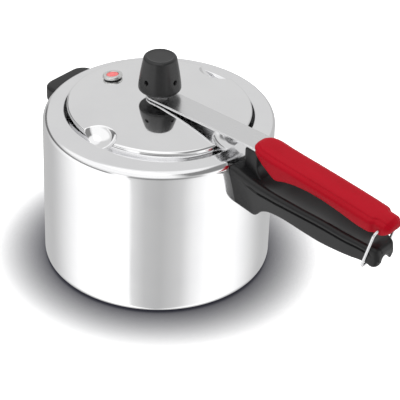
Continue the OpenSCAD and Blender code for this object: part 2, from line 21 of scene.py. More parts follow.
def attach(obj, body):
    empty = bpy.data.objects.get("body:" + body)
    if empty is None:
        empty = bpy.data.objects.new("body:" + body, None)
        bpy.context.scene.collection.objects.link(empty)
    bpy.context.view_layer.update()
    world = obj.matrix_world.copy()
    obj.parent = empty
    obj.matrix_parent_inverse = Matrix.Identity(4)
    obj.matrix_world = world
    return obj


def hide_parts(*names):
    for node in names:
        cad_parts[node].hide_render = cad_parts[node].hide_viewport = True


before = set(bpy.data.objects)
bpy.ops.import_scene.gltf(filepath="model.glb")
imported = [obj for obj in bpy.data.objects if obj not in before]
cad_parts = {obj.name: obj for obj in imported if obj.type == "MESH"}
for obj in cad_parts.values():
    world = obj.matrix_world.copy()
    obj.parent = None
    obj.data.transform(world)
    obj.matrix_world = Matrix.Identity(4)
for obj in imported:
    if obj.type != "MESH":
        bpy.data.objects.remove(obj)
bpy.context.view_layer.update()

MM = 0.001
log = logging.getLogger("cooker")

Array = np.ndarray
Knots = tuple[tuple[float, float], ...]


# ---------------------------------------------------------------- shapes as whole arrays


def smoothstep(low: float, high: float, x: Array) -> Array:
    """Rise from 0 at low to 1 at high along the cubic 3t^2 - 2t^3.

    Args:
        low: where the rise starts.
        high: where it ends.
        x: where it is read.

    Returns:
        The height of the rise, shaped as x.
    """
    t = np.clip((x - low) / (high - low), 0.0, 1.0)
    return t * t * (3.0 - 2.0 * t)


def run(knots: Knots, x: Array) -> Array:
    """Smooth curve through knots: cubic pieces whose slope at a knot is that of its neighbours' chord.

    Args:
        knots: pairs of place and value, in rising order of place.
        x: where the curve is read.

    Returns:
        The curve's values, shaped as x, held level outside the knots.
    """
    place, value = np.asarray(knots, float).T
    before = np.maximum(np.arange(len(place)) - 1, 0)
    after = np.minimum(np.arange(len(place)) + 1, len(place) - 1)
    slope = (value[after] - value[before]) / (place[after] - place[before])
    i = np.clip(np.searchsorted(place, x, "right") - 1, 0, len(place) - 2)
    h = place[i + 1] - place[i]
    t = np.clip((x - place[i]) / h, 0.0, 1.0)
    rise = 3.0 * t**2 - 2.0 * t**3
    bend = (t**3 - 2.0 * t**2 + t) * h * slope[i] + (t**3 - t**2) * h * slope[i + 1]
    return (1.0 - rise) * value[i] + rise * value[i + 1] + bend


def eased(low: float, high: float, count: int) -> Array:
    """Places from low to high, closer together near both ends as a cosine runs.

    Args:
        low: first place.
        high: last place.
        count: number of places.

    Returns:
        The places, in order.
    """
    return low + (high - low) * (1.0 - np.cos(np.linspace(0.0, math.pi, count))) / 2.0


def arc(centre: tuple[float, float], radius: float, start: float, end: float, count: int) -> Array:
    """Points of a circular arc: centre + radius (cos a, sin a).

    Args:
        centre: centre of the circle.
        radius: its radius.
        start: first angle in degrees.
        end: last angle in degrees.
        count: number of points.

    Returns:
        The points as rows of two numbers.
    """
    a = np.radians(np.linspace(start, end, count))
    return np.stack([centre[0] + radius * np.cos(a), centre[1] + radius * np.sin(a)], axis=1)


def line(start: tuple[float, float], end: tuple[float, float], count: int) -> Array:
    """Points evenly along a straight line, both ends included.

    Args:
        start: first point.
        end: last point.
        count: number of points.

    Returns:
        The points as rows of two numbers.
    """
    t = np.linspace(0.0, 1.0, count)[:, None]
    return (1.0 - t) * np.asarray(start, float) + t * np.asarray(end, float)


def oval_shift(turn: Array) -> Array:
    """Share of the mouth's stretch along X that a direction takes: 1.5 cos - 0.5 cos^3."""
    c = np.cos(turn)
    return 1.5 * c - 0.5 * c**3


def revolve(profile: Array, columns: int) -> Array:
    """Surface of revolution: (r cos a, r sin a, z) for each profile point (r, z) and turn a.

    Args:
        profile: rows of radius and height.
        columns: number of steps round.

    Returns:
        A grid of points, one row for each profile point.
    """
    a = np.linspace(0.0, 2.0 * math.pi, columns, endpoint=False)
    r, z = profile[:, :1], profile[:, 1:]
    return np.stack([r * np.cos(a), r * np.sin(a), z + 0.0 * a], axis=2)


def mirrored_ring(y: Array, z: Array) -> tuple[Array, Array]:
    """Closes half sections into rings by mirroring them in the plane y = 0.

    Args:
        y: grid of distances from the plane, from top middle to bottom middle along a row.
        z: grid of heights.

    Returns:
        The whole rings' y and z grids.
    """
    return np.hstack([-y, y[:, -2:0:-1]]), np.hstack([z, z[:, -2:0:-1]])


def tube(path: Array, radius: float, plane_normal: Array, sides: int) -> Array:
    """Round tube along a path that lies in one plane: a circle in the plane's normal and the path's own.

    Args:
        path: points of the centre line.
        radius: radius of the tube.
        plane_normal: unit vector across the path's plane.
        sides: number of points round the tube.

    Returns:
        A grid of points, one row for each point of the path.
    """
    along = np.gradient(path, axis=0)
    along /= np.linalg.norm(along, axis=1, keepdims=True)
    across = np.cross(along, plane_normal)
    a = np.linspace(0.0, 2.0 * math.pi, sides, endpoint=False)[None, :, None]
    return path[:, None] + radius * (np.cos(a) * across[:, None] + np.sin(a) * plane_normal)


def piece(name: str, grids: Array | list[Array], sharp: float = 40.0) -> bpy.types.Object:
    """Makes one object of closed grids: columns wrap round, and the end rows are closed by a face each.

    Rows that run to a point are merged there, and the faces are then turned outwards.

    Args:
        name: the object's name.
        grids: one or more grids of points in millimetres.
        sharp: angle in degrees above which an edge is shaded sharp.

    Returns:
        The new object, at the origin, with its place in its mesh.
    """
    points: list[Array] = []
    faces: list[list[int]] = []
    start = 0
    for grid in grids if isinstance(grids, list) else [grids]:
        rows, columns = grid.shape[:2]
        at = start + np.arange(rows * columns).reshape(rows, columns)
        nxt = np.roll(at, -1, axis=1)
        quads = np.stack([at[:-1], nxt[:-1], nxt[1:], at[1:]], axis=2).reshape(-1, 4)
        faces += quads.tolist() + [at[0, ::-1].tolist(), at[-1].tolist()]
        points.append(grid.reshape(-1, 3))
        start += rows * columns
    mesh = bpy.data.meshes.new(name)
    mesh.from_pydata((np.concatenate(points) * MM).tolist(), [], faces)
    shell = bmesh.new()
    shell.from_mesh(mesh)
    bmesh.ops.remove_doubles(shell, verts=shell.verts, dist=2e-6)
    bmesh.ops.dissolve_degenerate(shell, edges=shell.edges, dist=1e-7)
    bmesh.ops.recalc_face_normals(shell, faces=shell.faces)
    shell.to_mesh(mesh)
    shell.free()
    mesh.shade_smooth()
    mesh.set_sharp_from_angle(angle=math.radians(sharp))
    made = bpy.data.objects.new(name, mesh)
    bpy.context.scene.collection.objects.link(made)
    return made


# ---------------------------------------------------------------- shader graphs


class Value:
    """A socket that Python expressions can be written with."""

    def __init__(self, graph: "Graph", socket: bpy.types.NodeSocket) -> None:
        """Keeps the socket and the graph that it belongs to."""
        self.graph = graph
        self.socket = socket

    def _math(self, operation: str, *others: "Value | float", swap: bool = False) -> "Value":
        """Adds a Math node.

        Args:
            operation: the node's operation.
            others: its further operands.
            swap: whether the first two operands change places.

        Returns:
            The node's result.
        """
        terms: list[Value | float] = [self, *others]
        if swap:
            terms.reverse()
        return self.graph.value("ShaderNodeMath", {"operation": operation}, dict(enumerate(terms)))

    def __add__(self, other: "Value | float") -> "Value":
        """Sum."""
        return self._math("ADD", other)

    def __radd__(self, other: float) -> "Value":
        """Sum with a number on the left."""
        return self._math("ADD", other)

    def __sub__(self, other: "Value | float") -> "Value":
        """Difference."""
        return self._math("SUBTRACT", other)

    def __rsub__(self, other: float) -> "Value":
        """Difference from a number."""
        return self._math("SUBTRACT", other, swap=True)

    def __mul__(self, other: "Value | float") -> "Value":
        """Product."""
        return self._math("MULTIPLY", other)

    def __rmul__(self, other: float) -> "Value":
        """Product with a number on the left."""
        return self._math("MULTIPLY", other)

    def __truediv__(self, other: "Value | float") -> "Value":
        """Quotient."""
        return self._math("DIVIDE", other)

    def __rtruediv__(self, other: float) -> "Value":
        """A number divided by this."""
        return self._math("DIVIDE", other, swap=True)

    def __abs__(self) -> "Value":
        """Size without sign."""
        return self._math("ABSOLUTE")

    def squared(self) -> "Value":
        """Product with itself."""
        return self * self

    def root(self) -> "Value":
        """Square root."""
        return self._math("SQRT")

    def power(self, exponent: float) -> "Value":
        """This to a power."""
        return self._math("POWER", exponent)

    def turn_from(self, across: "Value") -> "Value":
        """Angle in radians of the point (across, this)."""
        return self._math("ARCTAN2", across)

    def wrapped(self, low: float, high: float) -> "Value":
        """The value carried into the range from low to high by whole turns of it."""
        return self._math("WRAP", high, low)

    def rise(self, low: float, high: float, start: float = 0.0, end: float = 1.0) -> "Value":
        """Smooth rise of the value's own range onto another.

        Args:
            low: value at which the rise starts.
            high: value at which it ends.
            start: result at low and before it.
            end: result at high and after it.

        Returns:
            The risen value.
        """
        settings = {"interpolation_type": "SMOOTHSTEP", "clamp": True}
        inputs = {"Value": self, "From Min": low, "From Max": high, "To Min": start, "To Max": end}
        return self.graph.value("ShaderNodeMapRange", settings, inputs)


class Graph:
    """A node tree that is built by its values."""

    def __init__(self, tree: bpy.types.NodeTree) -> None:
        """Empties the tree and keeps it."""
        self.tree = tree
        tree.nodes.clear()

    def node(self, kind: str, settings: dict[str, Any], inputs: dict[Any, Any]) -> bpy.types.Node:
        """Adds a node.

        Args:
            kind: the node's type.
            settings: its properties, set first; "stops" are a ramp's places and colours.
            inputs: numbers, colours or Values for its sockets, by name or index.

        Returns:
            The node.
        """
        made = self.tree.nodes.new(kind)
        for key, setting in settings.items():
            if key == "stops":
                stops = made.color_ramp.elements
                while len(stops) < len(setting):
                    stops.new(1.0)
                for stop, (place, level) in zip(stops, setting):
                    stop.position = place
                    stop.color = (level, level, level, 1.0)
            else:
                setattr(made, key, setting)
        for key, given in inputs.items():
            if isinstance(given, Value):
                self.tree.links.new(given.socket, made.inputs[key])
            else:
                made.inputs[key].default_value = given
        return made

    def value(self, kind: str, settings: dict[str, Any], inputs: dict[Any, Any], output: Any = 0) -> Value:
        """Adds a node and wraps one of its outputs.

        Args:
            kind: the node's type.
            settings: its properties.
            inputs: what its sockets hold.
            output: name or index of the output.

        Returns:
            The output as a Value.
        """
        return Value(self, self.node(kind, settings, inputs).outputs[output])

    def place(self) -> Value:
        """Object coordinates, in metres."""
        return self.value("ShaderNodeTexCoord", {}, {}, "Object")

    def parts(self, vector: Value) -> tuple[Value, Value, Value]:
        """The three components of a vector."""
        split = self.node("ShaderNodeSeparateXYZ", {}, {"Vector": vector})
        return Value(self, split.outputs[0]), Value(self, split.outputs[1]), Value(self, split.outputs[2])

    def vector(self, x: Value | float, y: Value | float, z: Value | float) -> Value:
        """A vector of three components."""
        return self.value("ShaderNodeCombineXYZ", {}, {"X": x, "Y": y, "Z": z})

    def noise(self, vector: Value, scale: float, detail: float = 2.0) -> Value:
        """Noise between 0 and 1 about 0.5, at a number of cells to a metre."""
        inputs = {"Vector": vector, "Scale": scale, "Detail": detail, "Roughness": 0.55}
        return self.value("ShaderNodeTexNoise", {}, inputs)

    def mixed(self, share: Value, low: "Colour", high: "Colour") -> Value:
        """Colour between two, by share."""
        inputs = {"Factor": share, 6: (*low, 1.0), 7: (*high, 1.0)}
        return self.value("ShaderNodeMix", {"data_type": "RGBA"}, inputs, 2)

    def bump(self, height: Value, depth: float, strength: float = 1.0) -> Value:
        """Normal of a surface raised by height times depth in metres."""
        return self.value("ShaderNodeBump", {}, {"Height": height, "Distance": depth, "Strength": strength})


Colour = tuple[float, float, float]


# ---------------------------------------------------------------- finishes


@dataclass(frozen=True)
class Finish:
    """A finish: its name, its two colours, its roughness range and what stays constant over it."""

    name: str
    low: Colour
    high: Colour
    rough: tuple[float, float]
    fixed: dict[str, float] = field(default_factory=dict)
    glow: float = 0.0

    def marks(self, graph: Graph) -> tuple[Value, Value, Value]:
        """Patterns of the finish.

        Args:
            graph: the material's graph.

        Returns:
            Shares from 0 to 1 for colour and roughness, and the normal.
        """
        raise NotImplementedError

    def material(self) -> bpy.types.Material:
        """Builds the material, or finds it if it is made already."""
        found = bpy.data.materials.get(self.name)
        if found:
            return found
        made = bpy.data.materials.new(self.name)
        made.use_nodes = True
        graph = Graph(made.node_tree)
        tint, wear, normal = self.marks(graph)
        span = self.rough[1] - self.rough[0]
        inputs = {
            "Base Color": graph.mixed(tint, self.low, self.high),
            "Roughness": wear * span + self.rough[0],
            "Normal": normal,
            **self.fixed,
        }
        if self.glow:
            inputs["Emission Color"] = inputs["Base Color"]
            inputs["Emission Strength"] = self.glow
        shader = graph.value("ShaderNodeBsdfPrincipled", {}, inputs)
        graph.node("ShaderNodeOutputMaterial", {}, {"Surface": shader})
        made.diffuse_color = (*self.high, 1.0)
        return made


@dataclass(frozen=True)
class SpunMetal(Finish):
    """Metal polished as it turns: faint rings about the Z axis, and soft smudges."""

    axis: tuple[float, float] = (0.0, 0.0)
    ring_scale: float = 900.0
    ring_depth: float = 2e-6

    def marks(self, graph: Graph) -> tuple[Value, Value, Value]:
        """Rings are noise read along radius and height, which hardly changes round a turn."""
        place = graph.place()
        x, y, z = graph.parts(place)
        x = x - self.axis[0]
        y = y - self.axis[1]
        radius = (x.squared() + y.squared()).root()
        turn = y.turn_from(x)
        rings = graph.noise(graph.vector(radius, z, turn * 0.0004), self.ring_scale, 3.0)
        smudges = graph.noise(place, 22.0, 4.0)
        wear = smudges.rise(0.35, 0.7) * 0.7 + rings * 0.3
        return smudges.rise(0.3, 0.7), wear, graph.bump(rings, self.ring_depth)


@dataclass(frozen=True)
class BrushedMetal(Finish):
    """Metal brushed along X: fine long scratches."""

    scale: float = 1600.0
    depth: float = 4e-6

    def marks(self, graph: Graph) -> tuple[Value, Value, Value]:
        """Scratches are noise stretched thirty times along X."""
        place = graph.place()
        x, y, z = graph.parts(place)
        lines = graph.noise(graph.vector(x * 0.03, y, z), self.scale, 3.0)
        smudges = graph.noise(place, 40.0, 3.0)
        return lines, lines * 0.5 + smudges * 0.5, graph.bump(lines, self.depth)


@dataclass(frozen=True)
class Moulded(Finish):
    """Moulded plastic: a fine even grain and faint flow marks."""

    grain_scale: float = 1800.0
    grain_depth: float = 1.2e-5

    def marks(self, graph: Graph) -> tuple[Value, Value, Value]:
        """Grain is fine noise; flow marks are broad noise drawn out along X."""
        place = graph.place()
        x, y, z = graph.parts(place)
        grain = graph.noise(place, self.grain_scale, 2.0)
        flow = graph.noise(graph.vector(x * 0.3, y, z), 38.0, 3.0)
        rubbed = flow.rise(0.3, 0.7)
        return rubbed, rubbed * 0.7 + grain * 0.3, graph.bump(grain, self.grain_depth)


@dataclass(frozen=True)
class DrawnWire(Finish):
    """Bright plated wire or fastener: short fine scuffs all ways."""

    scale: float = 260.0
    depth: float = 4e-7

    def marks(self, graph: Graph) -> tuple[Value, Value, Value]:
        """Scuffs are noise at two sizes."""
        place = graph.place()
        scuffs = graph.noise(place, self.scale, 4.0)
        broad = graph.noise(place, self.scale / 8.0, 2.0)
        return broad, scuffs * 0.5 + broad * 0.5, graph.bump(scuffs, self.depth)


@dataclass(frozen=True)
class Rubber(Finish):
    """Moulded rubber: matt, with a powdery bloom."""

    def marks(self, graph: Graph) -> tuple[Value, Value, Value]:
        """Bloom is broad noise, and pores are fine noise."""
        place = graph.place()
        bloom = graph.noise(place, 120.0, 4.0)
        pores = graph.noise(place, 2200.0, 2.0)
        return bloom.rise(0.35, 0.7), bloom * 0.6 + pores * 0.4, graph.bump(pores, 2e-5)


@dataclass(frozen=True)
class ShadowPaintedPaper(Finish):
    """The studio's pale paper, with a painted contact shadow: its colour is darkened round what stands on it,
    where shade falls.
    """

    reach: float = 0.07
    # The floor glows with its own base colour, so the glow carries the painted shadow too.
    glow: float = 0.45

    def marks(self, graph: Graph) -> tuple[Value, Value, Value]:
        """The colour's share, which paints the contact shadow, is how open the place is, to the fourth power;
        the fibres are fine noise.
        """
        # Painted shadow: ambient occlusion within reach turns the floor's colour towards its dark low colour.
        painted_shadow_opening = graph.value("ShaderNodeAmbientOcclusion", {"samples": 24}, {"Distance": self.reach}, "AO")
        fibres = graph.noise(graph.place(), 900.0, 3.0)
        return painted_shadow_opening.power(4.0), fibres, graph.bump(fibres, 1e-6)


METAL = {"Metallic": 1.0}
POT_POLISH = SpunMetal("spun_aluminium_pot", (0.90, 0.90, 0.91), (0.93, 0.93, 0.935), (0.09, 0.15), METAL)
LID_POLISH = SpunMetal("spun_aluminium_lid", (0.90, 0.90, 0.905), (0.925, 0.925, 0.93), (0.045, 0.085), METAL,
                       ring_depth=1e-6)
VALVE_ALUMINIUM = SpunMetal("turned_aluminium", (0.70, 0.70, 0.69), (0.80, 0.80, 0.79), (0.28, 0.42), METAL,
                            axis=(-0.0602, 0.0), ring_depth=3e-6)
BARE_ALUMINIUM = DrawnWire("bare_aluminium", (0.70, 0.70, 0.71), (0.80, 0.80, 0.81), (0.25, 0.4), METAL)
BAR_STEEL = BrushedMetal("brushed_bar_steel", (0.76, 0.76, 0.765), (0.84, 0.84, 0.845), (0.20, 0.32), METAL)
BRIGHT_STEEL = DrawnWire("bright_plated_steel", (0.78, 0.78, 0.79), (0.86, 0.86, 0.87), (0.14, 0.26), METAL)
WEIGHT_STEEL = SpunMetal("turned_weight_steel", (0.45, 0.45, 0.46), (0.58, 0.58, 0.59), (0.25, 0.4), METAL,
                         ring_depth=1.2e-5)
BLACK_HANDLE = Moulded("black_phenolic", (0.006, 0.006, 0.0065), (0.010, 0.010, 0.0105), (0.26, 0.36),
                       {"Specular IOR Level": 0.36})
BLACK_CAP = Moulded("black_cap_nylon", (0.010, 0.010, 0.0105), (0.016, 0.016, 0.0165), (0.26, 0.36),
                    {"Specular IOR Level": 0.5}, grain_scale=2400.0)
RED_HANDLE = Moulded("red_moulding", (0.31, 0.0008, 0.008), (0.36, 0.0015, 0.011), (0.32, 0.42),
                     {"Specular IOR Level": 0.1}, grain_depth=6e-6)
RED_PLUG = Rubber("red_silicone", (0.60, 0.11, 0.11), (0.70, 0.17, 0.17), (0.5, 0.65))
SEAL_RUBBER = Rubber("black_seal_rubber", (0.018, 0.018, 0.018), (0.04, 0.04, 0.042), (0.6, 0.8))


class Slot(Enum):
    """Material slots of the record that new pieces take their finish from."""

    POLISHED = "polished_aluminium"
    SATIN = "satin_aluminium"
    RIVET = "aluminium_rivet"
    BAR = "bar_steel"
    PLATED = "plated_steel"
    WEIGHT = "weight_steel"
    BLACK = "black_handle"
    CAP = "black_cap"
    RED = "red_handle"
    PLUG = "red_plug"
    SEAL = "seal_rubber"


FINISHES: dict[Slot, Finish] = {
    Slot.POLISHED: POT_POLISH,
    Slot.SATIN: VALVE_ALUMINIUM,
    Slot.RIVET: BARE_ALUMINIUM,
    Slot.BAR: BAR_STEEL,
    Slot.PLATED: BRIGHT_STEEL,
    Slot.WEIGHT: WEIGHT_STEEL,
    Slot.BLACK: BLACK_HANDLE,
    Slot.CAP: BLACK_CAP,
    Slot.RED: RED_HANDLE,
    Slot.PLUG: RED_PLUG,
    Slot.SEAL: SEAL_RUBBER,
}


def dress(made: bpy.types.Object, finish: Finish) -> None:
    """Gives an object one finish in place of what it has."""
    made.data.materials.clear()
    made.data.materials.append(finish.material())


def place_piece(made: bpy.types.Object, body: str, slot: Slot, *nodes: str,
                finish: Finish | None = None) -> None:
    """Dresses a new piece and ties it to the frame.

    Args:
        made: the piece.
        body: the CAD body that it rides on.
        slot: the record's slot for its finish.
        nodes: the CAD nodes that it stands for.
        finish: its finish, where it isn't the slot's own.
    """
    dress(made, finish or FINISHES[slot])
    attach(made, body)
    if nodes:
        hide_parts(*nodes)
    log.info("%s: %d faces, rides on %s", made.name, len(made.data.polygons), body)


# ---------------------------------------------------------------- the cooker's sub-assemblies


@dataclass
class Pot:
    """The pot: a spun shell with a rounded foot, a curved shoulder and an oval mouth."""

    radius: float = 110.0
    wall_height: float = 147.0
    wall: float = 3.0
    floor: float = 4.0
    foot: float = 8.0
    shoulder: float = 8.5
    slope: float = 10.0
    mouth: float = 87.0
    oval: float = 4.5
    lip: float = 1.2
    columns: int = 288

    @property
    def edge(self) -> tuple[float, float]:
        """Radius and height of the line where the curved shoulder becomes a cone."""
        a = math.radians(self.slope)
        return (self.radius - self.shoulder + self.shoulder * math.sin(a),
                self.wall_height + self.shoulder * math.cos(a))

    @property
    def seat(self) -> float:
        """Height of the underside of the shoulder."""
        return self.wall_height + self.shoulder - self.wall

    def cone(self, x: Array, y: Array) -> Array:
        """Height of the shoulder's cone: it rises towards the axis at the slope."""
        edge_r, edge_z = self.edge
        return edge_z + (edge_r - np.hypot(x, y)) * math.tan(math.radians(self.slope))

    def outline(self, turn: Array, out: float) -> tuple[Array, Array]:
        """The mouth's outline moved outwards: a circle stretched along X."""
        r = self.mouth + out
        return r * np.cos(turn) + self.oval * oval_shift(turn), r * np.sin(turn)

    def build(self) -> None:
        """Joins the turned outside, the cone to the oval lip, the mouth's wall and the turned inside."""
        edge_r, _ = self.edge
        turned = self.radius - self.foot
        outside = np.vstack([
            line((0.0, 0.0), (turned, 0.0), 6)[:-1],
            arc((turned, self.foot), self.foot, -90.0, 0.0, 14)[:-1],
            line((self.radius, self.foot), (self.radius, self.wall_height), 10)[:-1],
            arc((self.radius - self.shoulder, self.wall_height), self.shoulder, 0.0, 90.0 - self.slope, 18),
        ])
        turn = np.linspace(0.0, 2.0 * math.pi, self.columns, endpoint=False)
        rows = [revolve(outside, self.columns)]
        lip_x, lip_y = self.outline(turn, self.lip)
        ring_x, ring_y = edge_r * np.cos(turn), edge_r * np.sin(turn)
        share = np.linspace(0.0, 1.0, 9)[1:, None]
        x = ring_x + (lip_x - ring_x) * share
        y = ring_y + (lip_y - ring_y) * share
        rows.append(np.stack([x, y, self.cone(x, y)], axis=2))
        bend = np.radians(np.linspace(12.0, 90.0, 6))[:, None]
        out = self.lip * (1.0 - np.sin(bend))
        x = (self.mouth + out) * np.cos(turn) + self.oval * oval_shift(turn)
        y = (self.mouth + out) * np.sin(turn)
        z = self.cone(lip_x, lip_y) - self.lip * (1.0 - np.cos(bend))
        rows.append(np.stack([x, y, z], axis=2))
        mouth_x, mouth_y = self.outline(turn, 0.0)
        rows.append(np.stack([mouth_x, mouth_y, self.seat + 0.0 * turn], axis=1)[None])
        inner = self.radius - self.wall
        bend_r = self.shoulder - self.wall
        foot_r = self.foot - self.wall
        inside = np.vstack([
            arc((inner - bend_r, self.wall_height), bend_r, 90.0, 0.0, 10),
            line((inner, self.wall_height - 8.0), (inner, self.floor + foot_r), 4)[:-1],
            arc((inner - foot_r, self.floor + foot_r), foot_r, 0.0, -90.0, 8),
            line((inner - foot_r - 8.0, self.floor), (0.0, self.floor), 4),
        ])
        rows.append(revolve(inside, self.columns))
        made = piece("pot_shell", np.concatenate(rows))
        place_piece(made, "pot", Slot.POLISHED, "pot_body")


@dataclass
class Lid:
    """The lid: an oval pan turned over, with a flange that the seal sits on and three scoops."""

    pot: Pot
    gap: float = 2.6
    rise: float = 11.9
    dome: float = 7.6
    sheet: float = 2.4
    flange: float = 6.6
    gasket: float = 3.9
    round_edge: float = 2.4
    scoops: tuple[float, ...] = (-90.0, 0.0, 90.0)
    ball: float = 23.0
    ball_up: float = 12.0
    ball_out: float = 4.0
    crisp: float = 0.2
    flare: float = 1.7
    flare_height: float = 7.0
    columns: int = 720

    @property
    def radius(self) -> float:
        """Radius of the lid's wall, across the handles."""
        return self.pot.mouth - self.gap

    @property
    def edge(self) -> float:
        """Height of the edge of the lid's top."""
        return self.pot.seat + self.rise

    @property
    def crown(self) -> float:
        """Height of the domed middle of the lid."""
        return self.edge + self.dome

    @property
    def dome_radius(self) -> float:
        """Radius of the ball that the dome is a cap of."""
        return (self.radius**2 + self.dome**2) / (2.0 * self.dome)

    def dome_height(self, x: Array, y: Array, inset: float) -> Array:
        """Height of the dome, or of its inside a sheet's thickness below: a ball about a low centre."""
        low = self.crown - self.dome_radius
        return low + np.sqrt((self.dome_radius - inset) ** 2 - x**2 - y**2)

    @property
    def flange_top(self) -> float:
        """Height of the flange's upper face, under the seal."""
        return self.pot.seat - 0.1 - self.gasket

    def spread(self, r: Array, turn: Array) -> tuple[Array, Array]:
        """Plan place of a polar grid, stretched along X as the mouth is, fully from 55 mm out."""
        stretch = self.pot.oval * smoothstep(10.0, 55.0, r)
        return r * np.cos(turn) + stretch * oval_shift(turn), r * np.sin(turn)

    def scoop_height(self, x: Array, y: Array, grow: float) -> Array:
        """Height of the scoops' balls over a plan place, and far above the lid where there is none.

        Args:
            x: plan places along X.
            y: plan places along Y.
            grow: how much larger the balls are.

        Returns:
            centre height - root(ball^2 - distance^2), the lowest of the balls'.
        """
        height = np.full(x.shape, self.crown + 50.0)
        for degrees in self.scoops:
            a = math.radians(degrees)
            reach = self.radius + self.ball_out + self.pot.oval * abs(math.cos(a))
            inside = (self.ball + grow) ** 2 - (x - reach * math.cos(a)) ** 2 - (y - reach * math.sin(a)) ** 2
            ball = self.edge + self.ball_up - np.sqrt(np.maximum(inside, 0.0))
            height = np.where(inside > 0.0, np.minimum(height, ball), height)
        return height

    def lower_of(self, a: Array, b: Array) -> Array:
        """Smooth minimum: the mean less half of root(difference^2 + crisp^2)."""
        return (a + b - np.sqrt((a - b) ** 2 + self.crisp**2)) / 2.0

    def build(self) -> None:
        """Heights over a polar grid, then the wall, the flange and the inside, row by row."""
        turn = np.linspace(0.0, 2.0 * math.pi, self.columns, endpoint=False)
        round_from = self.radius - self.round_edge
        r = np.concatenate([
            [0.0, 20.0, 40.0, 54.0],
            np.arange(60.0, round_from, 0.62),
            round_from + self.round_edge * np.sin(np.radians(np.linspace(0.0, 90.0, 9))),
        ])[:, None]
        x, y = self.spread(r, turn)
        past = np.maximum(r - round_from, 0.0)
        drop = self.round_edge - np.sqrt(np.maximum(self.round_edge**2 - past**2, 0.0))
        z = self.lower_of(self.dome_height(x, y, 0.0) - drop, self.scoop_height(x, y, 0.0))
        rows = [np.stack([x, y, z], axis=2)]
        share = np.linspace(0.0, 1.0, 22)[1:, None]
        wall_z = z[-1] + (self.flange_top - z[-1]) * share
        spread_out = np.clip((self.pot.seat + self.flare_height - wall_z) / self.flare_height, 0.0, 1.0)
        wall_r = self.radius + self.flare * spread_out**2
        wall_x, wall_y = self.spread(wall_r, turn)
        rows.append(np.stack([wall_x, wall_y, wall_z], axis=2))
        rim = self.radius + self.flange
        below = self.flange_top - self.sheet
        inner = self.radius - self.sheet
        section = ((rim - 0.6, self.flange_top), (rim, self.flange_top - 0.6), (rim, below + 0.6),
                   (rim - 0.6, below), (inner, below))
        for section_r, section_z in section:
            ring_x, ring_y = self.spread(np.array([[section_r]]), turn)
            rows.append(np.stack([ring_x, ring_y, section_z + 0.0 * ring_x], axis=2))
        r = np.array([inner, 80.0, 76.0, 72.0, 68.0, 64.0, 60.0, 56.0, 30.0, 0.0])[:, None]
        x, y = self.spread(r, turn)
        z = self.lower_of(self.dome_height(x, y, self.sheet), self.scoop_height(x, y, self.sheet))
        rows.append(np.stack([x, y, np.maximum(z, below)], axis=2))
        made = piece("lid_shell", np.concatenate(rows), sharp=50.0)
        place_piece(made, "lid", Slot.POLISHED, "lid", finish=LID_POLISH)


@dataclass
class LidBar:
    """The flat bar from the vent pipe to the red handle, with a round end and softened edges."""

    bottom: float = 172.5
    thick: float = 2.5
    half: float = 13.0
    bend: float = 118.0
    slope: float = 6.5
    tail: float = 70.0
    soft: float = 0.7

    def build(self) -> None:
        """Carries a rounded flat section along X; its half width follows a circle at the round end."""
        x = np.concatenate([
            -self.half * np.cos(np.radians(np.linspace(2.0, 90.0, 22))),
            np.linspace(4.0, self.bend, 14),
            self.bend + np.array([1.0, 2.0]),
            np.linspace(self.bend + 8.0, self.bend + self.tail, 6),
        ])[:, None]
        half = np.where(x < 0.0, np.sqrt(np.maximum(self.half**2 - x**2, 0.0)), self.half)
        fall = math.tan(math.radians(self.slope))
        drop = fall * np.maximum(x - self.bend, 0.0)
        corner = np.radians(np.linspace(0.0, 90.0, 5))
        inset = self.soft * (1.0 - np.sin(corner))
        rise = self.soft * (1.0 - np.cos(corner))
        top_y = np.concatenate([[1e3, 6.0, 1.6, 0.8], inset])
        top_z = np.concatenate([[0.0, 0.0, 0.0, 0.0], rise])
        y = np.maximum(half - top_y, 0.0)
        upper = self.bottom + self.thick - drop - top_z
        lower = self.bottom - drop + top_z
        ring_y, ring_z = mirrored_ring(np.hstack([y, y[:, ::-1]]), np.hstack([upper, lower[:, ::-1]]))
        grid = np.stack([x + 0.0 * ring_y, ring_y, ring_z], axis=2)
        made = piece("lid_bar_strip", grid, sharp=50.0)
        place_piece(made, "lid", Slot.BAR, "lid_bar")


